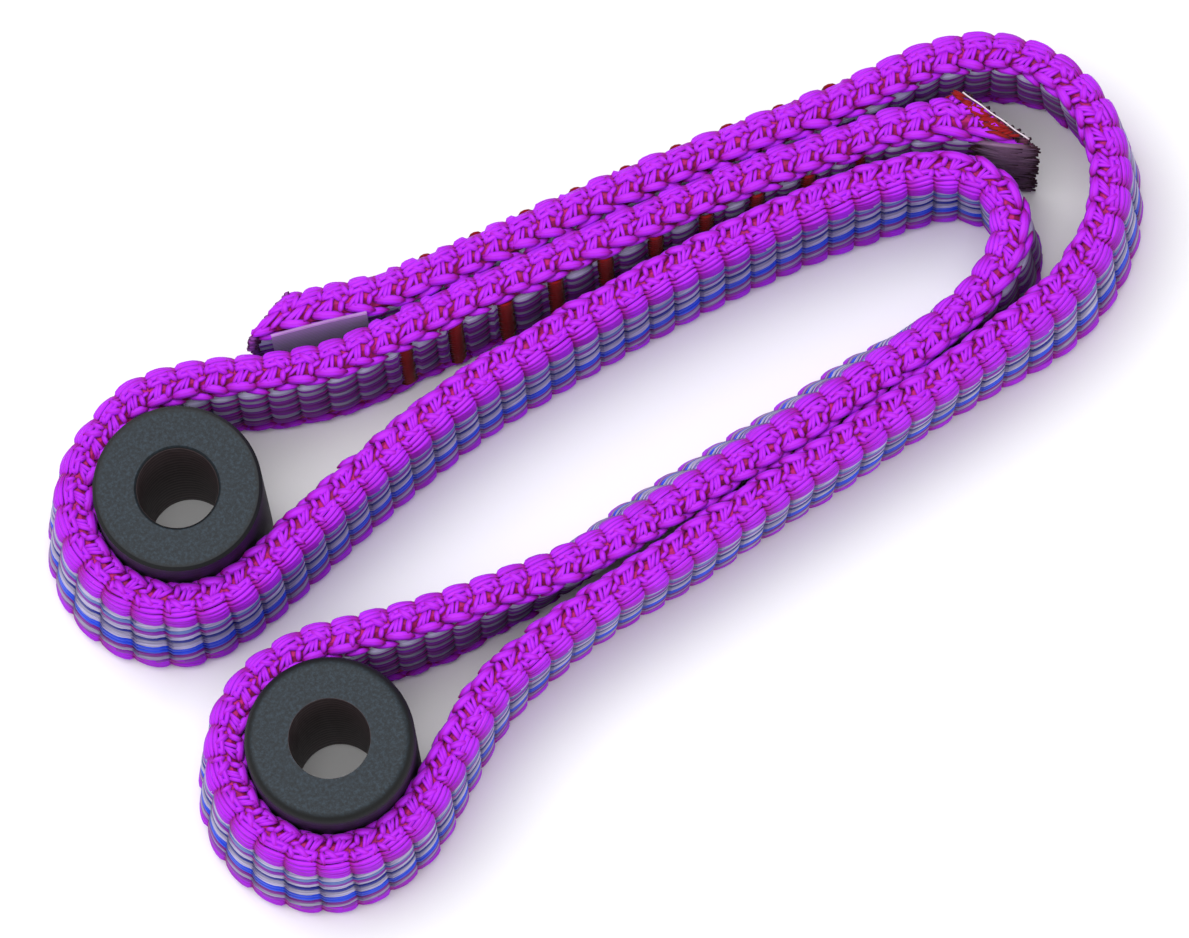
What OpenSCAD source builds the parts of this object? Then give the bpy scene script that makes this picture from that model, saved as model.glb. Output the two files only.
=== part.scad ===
// Folded webbing sling with a bushing in each end loop. Millimetres, +Z up.
// The origin is bushing A's axis at the floor. The arms run along +X to the fold.

/* [Overall] */
// From bushing A's axis to the outside of the fold
arm_l = 149; // [115:1:200]
// Distance between the two bushings' axes, across the arms
bushing_spacing = 44; // [36:0.5:60]

/* [Webbing] */
// Width of the webbing, which stands on its edge
strap_w = 25; // [18:0.5:30]
// Thickness of the webbing
strap_t = 5.5; // [4:0.1:7]
// Gap between two layers of webbing that lie side by side
ply_gap = 0.3; // [0.2:0.05:0.8]
// Bevel along the four edges of the webbing
edge_bevel = 1.3; // [0.5:0.1:1.7]
// How far each cut end slants, measured along the webbing
cut_slant = 7.5; // [2:0.5:9]

/* [Bushings] */
// Outside diameter of a bushing
bushing_d = 25; // [20:0.5:32]
// Diameter of the bore for the pin
bore_d = 12; // [6:0.1:16]
// Length of a bushing along its bore
bushing_l = 31; // [26:0.5:45]
// Gap between a bushing and the webbing round it
turn_gap = 0.2; // [0.15:0.05:1]
// Radius on the rounded rim of a bushing
rim_round = 1.6; // [0.5:0.1:3]
// Bevel on the turned rim of a bushing
rim_bevel = 0.5; // [0.2:0.1:1.5]
// Bevel at the bore's mouth on the turned rim's side
bore_bevel = 0.4; // [0.2:0.1:1]

/* [Stitching] */
// X of the first bar tack, next to bushing A
first_tack_x = 41; // [36:0.5:48]
// From the last bar tack to the outside of the fold
last_tack_to_fold = 35; // [30:0.5:50]
// Width of one bar tack along the webbing
tack_w = 2.8; // [1.5:0.1:4]
// How far the thread stands out of the webbing
thread_proud = 0.4; // [0.2:0.05:0.8]
// Thickness of the sewing thread where it goes through the webbing
thread_d = 1; // [0.5:0.1:1.4]
// Length of the overcast stitching on the inner cut end
overcast_l = 7; // [4:0.5:10]

/* [Label] */
// Thickness of the blank label tape
label_t = 0.5; // [0.3:0.1:0.8]

/* [Hidden] */
$fn = 96;
eps = 0.01;

tack_count = 10;
pitch = strap_t + ply_gap;
wrap_r = bushing_d / 2 + turn_gap + strap_t / 2;
centre_a = [0, 0];
centre_b = [0, -bushing_spacing];
last_tack_x = arm_l - last_tack_to_fold;

// The route below is drawn for these two sizes. A longer arm stretches its middle, and a
// wider spacing moves everything beyond arm A.
drawn_arm_l = 149;
drawn_spacing = 44;
stretch_from_x = 40;
stretch_to_x = 116;
shift_from_y = -12;
shift_to_y = -34;

function share(v, from, to) = min(1, max(0, (v - from) / (to - from)));
function along(x) = x + (arm_l - drawn_arm_l) * share(x, stretch_from_x, stretch_to_x);
function across(y) = y - (bushing_spacing - drawn_spacing) * share(y, shift_from_y, shift_to_y);
function place(p) = [along(p[0]), across(p[1]), p[2], p[3]];

// The webbing's route, from the outer cut end to the inner one. Each point is
// [x, y, plies, lean]: it moves plies x pitch to the left of the way the route runs, and
// the webbing's foot is lean to the left of its top edge.
outer_tail = [[24, 14.5, 0.5, 0], [32, 12.2, 0.5, 0]];
lap_mid = [
    [41, 9, 0.57, 0], [52, 7.7, 0.5, 0], [64, 6.3, 0.5, 0], [76, 5, 0.5, 0],
    [88, 3.4, 0.5, 0], [100, 1.6, 0.5, 0], [112, -0.6, 0.53, 0]
];
outer_fold = [
    [120, -1.4, 0.5, 0], [129, -2.4, 0.5, 1], [136.5, -5.6, 0.5, 2], [141.5, -11.5, 0.5, 3],
    [143, -19, 0.5, 3.5], [140.5, -27, 0.5, 3], [134.5, -33.4, 0.5, 2], [126, -37.2, 0.5, 1],
    [113, -38.9, 0.5, -1]
];
pair_mid = [
    [100, -39.9, 0.5, 0], [87, -40.6, 0.5, 0], [73, -41.1, 0.5, 0], [59, -41.7, 0.53, 0]
];
outer_to_b = [[46, -42.4, 0.5, -2.5], [34, -43.5, 0.5, -2], [24, -48.5, 0, -1]];
b_to_inner = [[21, -33.4, 0, 0], [32, -35.9, 0, 2], [45, -38.3, 0, 5]];
// Thicker webbing moves the inner fold in, away from the inner tail
drawn_strap_t = 5.5;
fold_in = 1.5 * (strap_t - drawn_strap_t) / pitch;
inner_fold = [
    [112, -35.4, 0, 4], [120, -32.8, fold_in, 0], [125.8, -28.2, fold_in, -2.5],
    [127.4, -22, fold_in, -2.5], [123.5, -16, fold_in, -1.5], [115, -12, fold_in, 0]
];
inner_to_a = [
    [102, -9.4, 0, 0], [88, -7.9, 0, 0], [74, -7.1, 0, 0], [60, -6.9, 0, 0], [46, -7.2, 0, 0],
    [33, -8.9, 0, 0], [22, -11, 0, 0]
];
a_to_lap = [[22, 9.7, 0, 0], [31, 6.7, 0, 0]];
inner_tail = [[120, -2.6, -0.5, 0], [128, -5.8, -0.5, 0], [134.5, -9.8, -0.5, 0]];

// The same points with the left-hand shift, the lean or both changed
function backwards(list) = [for (i = [len(list) - 1 : -1 : 0]) list[i]];
function other_ply(list) = [for (p = list) [p[0], p[1], -p[2], p[3]]];
function with_lean(list, lean) = [for (p = list) [p[0], p[1], p[2], lean]];

// Bearing from a bushing's centre at which a straight run to point p leaves the wrap
function leave_bearing(centre, p, side) =
    let (d = [p[0], p[1]] - centre)
    atan2(d[1], d[0]) + side * acos(wrap_r / norm(d));

// Clockwise wrap round a bushing, from the run that comes from p to the run that goes to q.
// The foot leans out by lean on the side that faces away from the fold.
wrap_steps = 11;
function wrap(centre, p, q, lean) =
    let (a0 = leave_bearing(centre, p, -1), a1 = leave_bearing(centre, q, 1) - 360)
    [
        for (i = [0 : wrap_steps])
            let (a = a0 + (a1 - a0) * i / wrap_steps)
            [centre[0] + wrap_r * cos(a), centre[1] + wrap_r * sin(a), 0, lean * max(0, -cos(a))]
    ];

// Slack next to a wrap: each point is [bearing, distance outside the wrap]
function slack(centre, list) = [
    for (s = list) let (r = wrap_r + s[1]) [centre[0] + r * cos(s[0]), centre[1] + r * sin(s[0]), 0, 0]
];
slack_b = slack(centre_b, [[72, 0.6], [50, 2]]);
slack_a = slack(centre_a, [[84, 1.4], [64, 2.2], [44, 4]]);

function placed(list) = [for (p = list) place(p)];
to_b = placed(concat(outer_tail, lap_mid, outer_fold, with_lean(pair_mid, -2), outer_to_b));
b_to_a = concat(
    slack_b,
    placed(concat(b_to_inner, with_lean(backwards(pair_mid), 7), inner_fold, inner_to_a))
);
from_a = concat(slack_a, placed(concat(a_to_lap, other_ply(lap_mid), inner_tail)));
route = concat(
    to_b,
    wrap(centre_b, to_b[len(to_b) - 1], b_to_a[0], 3),
    b_to_a,
    wrap(centre_a, b_to_a[len(b_to_a) - 1], from_a[0], 3.5),
    from_a
);

// Sideways direction at point i of a list, to the left of the way it runs
function left_of(list, i) =
    let (
        a = list[max(0, i - 1)],
        b = list[min(len(list) - 1, i + 1)],
        d = [b[0] - a[0], b[1] - a[1]]
    )
    [-d[1], d[0]] / norm(d);
function shifted(list) = [
    for (i = [0 : len(list) - 1])
        let (p = list[i], n = left_of(list, i) * p[2] * pitch)
        [p[0] + n[0], p[1] + n[1], p[3]]
];

// Smooth curve through a list of points, with the given number of steps between two of them
curve_steps = 3;
function flat(v) = [v[0], v[1]];
function between(a, b, c, d, t) =
    let (
        before = norm(flat(b - a)),
        here = norm(flat(c - b)),
        after = norm(flat(d - c)),
        start = (c - a) * here / (before + here),
        end = (d - b) * here / (here + after)
    )
    b * (2 * t - 3) * t * t + b + c * (3 - 2 * t) * t * t
        + start * (t - 1) * (t - 1) * t + end * (t - 1) * t * t;
function smooth(list) = let (last = len(list) - 1) concat(
    [
        for (i = [0 : last - 1], s = [0 : curve_steps - 1])
            between(
                list[max(0, i - 1)], list[i], list[i + 1], list[min(last, i + 2)],
                s / curve_steps
            )
    ],
    [list[last]]
);
line = smooth(shifted(route));

// Webbing section: [sideways, height], anticlockwise as seen looking back along the route
function section(t, w, bevel, lift) = [
    [t / 2, lift + bevel], [t / 2, lift + w - bevel], [t / 2 - bevel, lift + w],
    [bevel - t / 2, lift + w], [-t / 2, lift + w - bevel], [-t / 2, lift + bevel],
    [bevel - t / 2, lift], [t / 2 - bevel, lift]
];

// One ring of a section at point i of a line. Its left half slants forward by slant.
function ring(list, i, outline, slant) =
    let (p = list[i], n = left_of(list, i), f = [n[1], -n[0]])
    [
        for (q = outline)
            let (
                side = q[0] + p[2] * (1 - q[1] / strap_w),
                fore = slant * q[0] / strap_t
            )
            [p[0] + n[0] * side + f[0] * fore, p[1] + n[1] * side + f[1] * fore, q[1]]
    ];
// Solid through a list of rings
module skin(rings) {
    sides = len(rings[0]);
    last = len(rings) - 1;
    walls = [
        for (i = [0 : last - 1], k = [0 : sides - 1])
            let (a = i * sides + k, b = i * sides + (k + 1) % sides)
            each [[a, b + sides, b], [a, a + sides, b + sides]]
    ];
    caps = [[for (k = [0 : sides - 1]) k], [for (k = [sides - 1 : -1 : 0]) last * sides + k]];
    polyhedron([for (r = rings) each r], concat(walls, caps), convexity = 10);
}

// The webbing's own rings with any section. Each cut's slant fades over a few rings.
slant_rings = 4;
last_ring = len(line) - 1;
function strap_slant(i) = cut_slant
    * (max(0, 1 - i / slant_rings) - max(0, 1 - (last_ring - i) / slant_rings));
function strap_ring(i, outline) = ring(line, i, outline, strap_slant(i));
function ring_near(q, outline) =
    let (i = min(last_ring - 1, floor(q)), t = q - i)
    strap_ring(i, outline) * (1 - t) + strap_ring(i + 1, outline) * t;

module webbing_strap() {
    color("mediumorchid")
    skin([for (i = [0 : last_ring]) strap_ring(i, section(strap_t, strap_w, edge_bevel, 0))]);
}

// Half of a bushing's section, with the rounded rim at the top and the turned rim at the foot
module bushing_section() {
    r = bushing_d / 2;
    bore_r = bore_d / 2;
    difference() {
        translate([bore_r, 0]) square([r - bore_r, bushing_l]);
        translate([r, 0]) rotate(45) square(rim_bevel * sqrt(2), center = true);
        difference() {
            translate([r - rim_round, bushing_l - rim_round]) square(rim_round + eps);
            translate([r - rim_round, bushing_l - rim_round]) circle(rim_round);
        }
        translate([bore_r, 0]) rotate(45) square(bore_bevel * sqrt(2), center = true);
    }
}
module bushing() {
    color("darkslategray") rotate_extrude() bushing_section();
}
// Bushing A has its turned rim uppermost
module bushing_a() {
    translate([centre_a[0], centre_a[1], bushing_l]) rotate([180, 0, 0]) bushing();
}
module bushing_b() {
    translate([centre_b[0], centre_b[1], 0]) bushing();
}

// Middle of the lap at an X, and its bearing
lap_line = smooth(placed(lap_mid));
function lap_index(x) = len([for (p = lap_line) if (p[0] <= x) 1]) - 1;
function lap_at(x) =
    let (i = min(len(lap_line) - 2, max(0, lap_index(x))), a = lap_line[i], b = lap_line[i + 1])
    [x, a[1] + (b[1] - a[1]) * (x - a[0]) / (b[0] - a[0]), atan2(b[1] - a[1], b[0] - a[0])];

// A bar of thread down each face of the lap, joined by the stitches that go through it
module bar_tack(index) {
    x = first_tack_x + (last_tack_x - first_tack_x) * index / (tack_count - 1);
    at = lap_at(x);
    half = pitch / 2 + strap_t / 2;
    bar_h = strap_w - 2 * edge_bevel;
    stitches = 4;
    color("firebrick")
    translate([at[0], at[1], strap_w / 2]) rotate(at[2]) {
        for (side = [-1, 1])
            translate([0, side * (half + thread_proud / 2), 0])
            cube([tack_w, thread_proud, bar_h], center = true);
        for (i = [0 : stitches - 1])
            translate([0, 0, bar_h * ((i + 0.5) / stitches - 0.5)])
            rotate([90, 0, 0])
            cylinder(h = 2 * half + thread_proud, d = thread_d, center = true, $fn = 24);
    }
}

// Overcast thread round the webbing just before its inner cut end
cut_clear = 1.2;
thread_skin = 0.02;
module end_overcast() {
    step_l = norm(flat(line[last_ring] - line[last_ring - slant_rings])) / slant_rings;
    near = last_ring - cut_clear / step_l;
    far = last_ring - (cut_clear + overcast_l) / step_l;
    places = concat([far], [for (i = [ceil(far) : floor(near)]) i], [near]);
    wider = concat([far - 0.3], [for (i = [ceil(far) : floor(near)]) i], [near + 0.3]);
    outer = section(
        strap_t + 2 * thread_proud, strap_w + thread_proud, edge_bevel + thread_proud / 2, 0
    );
    inner = section(
        strap_t + 2 * thread_skin, strap_w + 2 * thread_skin, edge_bevel, -thread_skin
    );
    color("crimson")
    difference() {
        skin([for (q = places) ring_near(q, outer)]);
        skin([for (q = wider) ring_near(q, inner)]);
    }
}

// Blank tape sewn in against the outer tail's inner face
module label_tape() {
    count = 5;
    off = strap_t / 2 + ply_gap / 6 + label_t / 2;
    outline = section(label_t, strap_w, label_t / 4, 0);
    strip = [
        for (i = [0 : count])
            let (n = left_of(line, i))
            [line[i][0] - n[0] * off, line[i][1] - n[1] * off, line[i][2]]
    ];
    color("thistle") skin([for (i = [0 : count]) ring(strip, i, outline, 0)]);
}

webbing_strap();
bushing_a();
bushing_b();
bar_tack(0);  // bar_tack_01
bar_tack(1);  // bar_tack_02
bar_tack(2);  // bar_tack_03
bar_tack(3);  // bar_tack_04
bar_tack(4);  // bar_tack_05
bar_tack(5);  // bar_tack_06
bar_tack(6);  // bar_tack_07
bar_tack(7);  // bar_tack_08
bar_tack(8);  // bar_tack_09
bar_tack(9);  // bar_tack_10
end_overcast();
label_tape();
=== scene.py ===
import math

import bmesh
import bpy
import numpy as np
from mathutils import Matrix, Vector


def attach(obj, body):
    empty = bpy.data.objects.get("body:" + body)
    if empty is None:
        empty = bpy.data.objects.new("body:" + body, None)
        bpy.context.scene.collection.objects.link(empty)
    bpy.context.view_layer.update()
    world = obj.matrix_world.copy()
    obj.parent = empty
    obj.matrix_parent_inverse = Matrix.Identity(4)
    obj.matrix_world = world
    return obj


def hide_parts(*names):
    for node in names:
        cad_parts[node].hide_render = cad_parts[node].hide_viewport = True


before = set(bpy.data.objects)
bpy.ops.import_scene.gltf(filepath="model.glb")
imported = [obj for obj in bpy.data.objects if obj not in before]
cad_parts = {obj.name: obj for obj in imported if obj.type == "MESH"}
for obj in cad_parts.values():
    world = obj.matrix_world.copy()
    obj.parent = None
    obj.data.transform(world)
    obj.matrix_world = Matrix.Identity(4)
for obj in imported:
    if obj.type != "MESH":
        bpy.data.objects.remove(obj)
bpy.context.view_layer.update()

bl_info = {
    "name": "Webbing Sling",
    "version": (1, 0, 0),
    "blender": (4, 5, 0),
    "location": "View3D > Sidebar > Sling",
    "description": "Woven webbing sling, folded double, with a bushing in each end loop",
    "category": "Object",
}

MM = 0.001
SLING = "sling"
TACKS = tuple(f"bar_tack_{i:02d}" for i in range(1, 11))

# Sizes that the frame fixes, in metres
WIDTH = 0.025
THICKNESS = 0.0055
PLY_PITCH = 0.0058
WRAP_R = 0.01545
BUSHING_R = 0.0125
BUSHING_L = 0.031
CUT_SLANT = 0.0075
CENTRE_A = (0.0, 0.0)
CENTRE_B = (0.0, -0.044)

# The webbing's route from the outer cut end to the inner one, as (x, y, plies, lean): each
# point moves plies x PLY_PITCH to the left, and the foot lies lean to the left of the top
OUTER_TAIL = ((0.024, 0.0145, 0.5, 0), (0.032, 0.0122, 0.5, 0))
LAP = (
    (0.041, 0.009, 0.57, 0), (0.052, 0.0077, 0.5, 0), (0.064, 0.0063, 0.5, 0),
    (0.076, 0.005, 0.5, 0), (0.088, 0.0034, 0.5, 0), (0.1, 0.0016, 0.5, 0),
    (0.112, -0.0006, 0.53, 0),
)
OUTER_FOLD = (
    (0.12, -0.0014, 0.5, 0), (0.129, -0.0024, 0.5, 0.001), (0.1365, -0.0056, 0.5, 0.002),
    (0.1415, -0.0115, 0.5, 0.003), (0.143, -0.019, 0.5, 0.0035), (0.1405, -0.027, 0.5, 0.003),
    (0.1345, -0.0334, 0.5, 0.002), (0.126, -0.0372, 0.5, 0.001), (0.113, -0.0389, 0.5, -0.001),
)
PAIR = (
    (0.1, -0.0399, 0.5, 0), (0.087, -0.0406, 0.5, 0), (0.073, -0.0411, 0.5, 0),
    (0.059, -0.0417, 0.53, 0),
)
OUTER_TO_B = (
    (0.046, -0.0424, 0.5, -0.0025), (0.034, -0.0435, 0.5, -0.002), (0.024, -0.0485, 0, -0.001),
)
B_TO_INNER = ((0.021, -0.0334, 0, 0), (0.032, -0.0359, 0, 0.002), (0.045, -0.0383, 0, 0.005))
INNER_FOLD = (
    (0.112, -0.0354, 0, 0.004), (0.12, -0.0328, 0, 0), (0.1258, -0.0282, 0, -0.0025),
    (0.1274, -0.022, 0, -0.0025), (0.1235, -0.016, 0, -0.0015), (0.115, -0.012, 0, 0),
)
INNER_TO_A = (
    (0.102, -0.0094, 0, 0), (0.088, -0.0079, 0, 0), (0.074, -0.0071, 0, 0),
    (0.06, -0.0069, 0, 0), (0.046, -0.0072, 0, 0), (0.033, -0.0089, 0, 0),
    (0.022, -0.011, 0, 0),
)
A_TO_LAP = ((0.022, 0.0097, 0, 0), (0.031, 0.0067, 0, 0))
INNER_TAIL = ((0.12, -0.0026, -0.5, 0), (0.128, -0.0058, -0.5, 0), (0.1345, -0.0098, -0.5, 0))
# Slack beside each wrap: bearing in degrees, and distance outside the wrap
SLACK_B = ((72, 0.0006), (50, 0.002))
SLACK_A = ((84, 0.0014), (64, 0.0022), (44, 0.004))
WRAP_STEPS = 11
# How far the foot lies to the left of the top, on the pair's two runs and round each bushing
PAIR_OUT_LEAN = -0.002
PAIR_BACK_LEAN = 0.007
WRAP_A_LEAN = 0.0035
WRAP_B_LEAN = 0.003
# The slant of both cut ends fades out over SLANT_L. The inner end flares over FLARE_L.
SLANT_L = 0.011
FLARE_L = 0.015
FLARE_SHARE = 0.32
FIRST_TACK_X = 0.041
LAST_TACK_X = 0.114


# ---------------------------------------------------------------- route

def leave_bearing(centre, point, side):
    """Bearing, in radians, at which a straight run to a point leaves the wrap."""
    dx, dy = point[0] - centre[0], point[1] - centre[1]
    return math.atan2(dy, dx) + side * math.acos(WRAP_R / math.hypot(dx, dy))


def wrap(centre, before, after, lean):
    """Points clockwise round a bushing from one run to the next."""
    a0 = leave_bearing(centre, before, -1)
    a1 = leave_bearing(centre, after, 1) - 2 * math.pi
    bearings = [a0 + (a1 - a0) * i / WRAP_STEPS for i in range(WRAP_STEPS + 1)]
    return [
        (centre[0] + WRAP_R * math.cos(a), centre[1] + WRAP_R * math.sin(a), 0,
         lean * max(0, -math.cos(a)))
        for a in bearings
    ]


def slack(centre, turns):
    """Points a little outside a wrap, at bearings in degrees."""
    return [
        (centre[0] + (WRAP_R + out) * math.cos(math.radians(a)),
         centre[1] + (WRAP_R + out) * math.sin(math.radians(a)), 0, 0)
        for a, out in turns
    ]


def route_points():
    """The whole route, moved sideways by its plies: rows of x, y, lean."""
    pair_out = [(x, y, p, PAIR_OUT_LEAN) for x, y, p, _ in PAIR]
    pair_back = [(x, y, p, PAIR_BACK_LEAN) for x, y, p, _ in reversed(PAIR)]
    lap_back = [(x, y, -p, lean) for x, y, p, lean in LAP]
    to_b = [*OUTER_TAIL, *LAP, *OUTER_FOLD, *pair_out, *OUTER_TO_B]
    b_to_a = [*slack(CENTRE_B, SLACK_B), *B_TO_INNER, *pair_back, *INNER_FOLD, *INNER_TO_A]
    from_a = [*slack(CENTRE_A, SLACK_A), *A_TO_LAP, *lap_back, *INNER_TAIL]
    points = np.array([
        *to_b, *wrap(CENTRE_B, to_b[-1], b_to_a[0], WRAP_B_LEAN),
        *b_to_a, *wrap(CENTRE_A, b_to_a[-1], from_a[0], WRAP_A_LEAN), *from_a,
    ])
    padded = np.vstack([points[:1], points, points[-1:]])
    way = padded[2:, :2] - padded[:-2, :2]
    left = np.c_[-way[:, 1], way[:, 0]] / np.linalg.norm(way, axis=1)[:, None]
    points[:, :2] += left * points[:, 2:3] * PLY_PITCH
    return points[:, [0, 1, 3]]


def smooth_line(points, steps=24):
    """The curve through the route, closely sampled."""
    rows = []
    last = len(points) - 1
    for i in range(last):
        a, b, c, d = (points[j] for j in (max(0, i - 1), i, i + 1, min(last, i + 2)))
        before, here, after = (np.linalg.norm(v[:2]) for v in (b - a, c - b, d - c))
        start = (c - a) * here / (before + here)
        end = (d - b) * here / (here + after)
        for t in np.arange(steps) / steps:
            rows.append(
                b * ((2 * t - 3) * t * t + 1) + c * (3 - 2 * t) * t * t
                + start * (t - 1) ** 2 * t + end * (t - 1) * t * t
            )
    rows.append(points[-1])
    return np.array(rows)


LINE = smooth_line(route_points())
RUN = np.r_[0, np.cumsum(np.linalg.norm(np.diff(LINE[:, :2], axis=0), axis=1))]
LENGTH = float(RUN[-1])
HEADING = np.gradient(LINE[:, :2], axis=0)
HEADING /= np.linalg.norm(HEADING, axis=1)[:, None]


class Place:
    """The webbing's own frame at distances along it: middle, ahead, left and lean."""

    def __init__(self, s):
        self.s = np.atleast_1d(np.asarray(s, float))
        inside = np.clip(self.s, 0, LENGTH)
        self.ahead = np.c_[tuple(np.interp(inside, RUN, part) for part in HEADING.T)]
        self.ahead /= np.linalg.norm(self.ahead, axis=1)[:, None]
        self.left = np.c_[-self.ahead[:, 1], self.ahead[:, 0]]
        self.middle = np.c_[tuple(np.interp(inside, RUN, part) for part in LINE.T[:2])]
        self.middle += self.ahead * (self.s - inside)[:, None]
        self.lean = np.interp(inside, RUN, LINE[:, 2])

    def point(self, side, height, slant=True):
        """Points a distance to the left of the middle, at a height above the floor."""
        side = np.broadcast_to(np.asarray(side, float), self.s.shape)
        height = np.broadcast_to(np.asarray(height, float), self.s.shape)
        end_share = np.clip((self.s - LENGTH + FLARE_L) / FLARE_L, 0, 1)
        side = side * (1 + FLARE_SHARE * end_share ** 2)
        fore = np.zeros_like(side)
        if slant:
            share = side / THICKNESS * CUT_SLANT
            fore = share * np.clip(1 - self.s / SLANT_L, 0, 1)
            fore = fore - share * np.clip(1 - (LENGTH - self.s) / SLANT_L, 0, 1)
        across = side + self.lean * (1 - height / WIDTH)
        xy = self.middle + self.left * across[:, None] + self.ahead * fore[:, None]
        return np.c_[xy, height]


# ---------------------------------------------------------------- settings

def linear(hex_code):
    """An sRGB hex colour as linear RGBA."""
    values = [int(hex_code[i:i + 2], 16) / 255 for i in (1, 3, 5)]
    return (*(v / 12.92 if v <= 0.04045 else ((v + 0.055) / 1.055) ** 2.4 for v in values), 1.0)


def scaled(colour, share, lift=0.0):
    """A linear colour made lighter or darker."""
    return (*(min(1.0, lift + share * v) for v in colour[:3]), 1.0)


def mm_size(name, text, default, low, high):
    return bpy.props.FloatProperty(
        name=name, description=text, default=default, min=low, max=high,
        unit="LENGTH", subtype="DISTANCE", precision=5,
    )


def hex_colour(name, text, default):
    return bpy.props.FloatVectorProperty(
        name=name, description=text, default=linear(default), size=4, min=0, max=1,
        subtype="COLOR",
    )


class SlingWebbing(bpy.types.PropertyGroup):
    rib_pitch: mm_size("Rib pitch", "Distance from one weft rib to the next", 0.0043, 0.002, 0.01)
    face_yarn: mm_size("Face yarn", "Radius of a yarn on the flat faces", 0.00086, 0.0003, 0.002)
    edge_yarn: mm_size("Edge yarn", "Radius of a yarn on the shoulder", 0.00042, 0.0001, 0.001)
    proud: mm_size("Rib height", "How far a rib swells out of the face", 0.00042, 0.0, 0.001)
    dip: mm_size("Rib notch", "How far the yarns sink between two ribs", 0.00014, 0.0, 0.001)
    magenta: hex_colour("Edge magenta", "Yarns along the webbing's edges", "#B01AF0")
    # A painted shade colour: the edge and purple yarns darken to it in each notch, and it makes
    # half of the violet yarns' colour
    magenta_painted_shade: hex_colour("Edge shade", "The same yarns where they dip", "#8C0478")
    binder: hex_colour("Binder", "Core that shows between the yarns", "#B00068")
    grey: hex_colour("Grey yarn", "Light grey face yarns", "#A49EBC")
    blue: hex_colour("Blue yarn", "Bright blue face yarns", "#1048F4")
    navy: hex_colour("Dark blue yarn", "Dark blue face yarns", "#121E94")
    purple: hex_colour("Purple yarn", "Purple face yarns", "#7E22B4")
    dusk: hex_colour("Blue-grey yarn", "Blue-grey face yarns", "#6C84C4")


class SlingTrim(bpy.types.PropertyGroup):
    thread: hex_colour("Thread", "Bar tacks and overcasting", "#8E0408")
    thread_radius: mm_size("Thread radius", "Radius of the sewing thread", 0.00024, 0.0001, 0.0006)
    tape: hex_colour("Label tape", "The blank tape sewn in at the outer cut end", "#B478CC")
    # One black nylon in a lit and a shaded copy: the flat ends' colour is painted light, and the
    # darker rims' and outer walls' colour is painted shade
    bushing_lit_face: hex_colour("Bushing face", "Flat ends of the bushings", "#18222A")
    bushing_shaded_side: hex_colour("Bushing side", "Rims and outer walls of the bushings", "#090B0D")


class SlingStage(bpy.types.PropertyGroup):
    floor: hex_colour("Floor", "Pale floor under the sling", "#F4F4F4")
    key_power: bpy.props.FloatProperty(
        name="Key light", description="Power of the large light overhead, in watts",
        default=12.0, min=0, max=500, unit="POWER",
    )
    sky: bpy.props.FloatProperty(
        name="Sky", description="Strength of the even light from all round", default=0.42, min=0,
        max=5,
    )


# ---------------------------------------------------------------- materials

def add_node(tree, kind, settings=None, inputs=None, stops=()):
    """Adds a node. settings are its attributes, inputs are values or links by socket, and stops
    are a colour ramp's positions and colours."""
    node = tree.nodes.new(kind)
    for key, value in (settings or {}).items():
        setattr(node, key, value)
    for key, value in (inputs or {}).items():
        if isinstance(value, bpy.types.NodeSocket):
            tree.links.new(value, node.inputs[key])
        else:
            node.inputs[key].default_value = value
    for i, (at, colour) in enumerate(stops):
        elements = node.color_ramp.elements
        element = elements[i] if i < len(elements) else elements.new(at)
        element.position = at
        element.color = colour
    return node


def new_material(name):
    material = bpy.data.materials.new(name)
    material.use_nodes = True
    tree = material.node_tree
    return material, tree, tree.nodes["Principled BSDF"]


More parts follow.
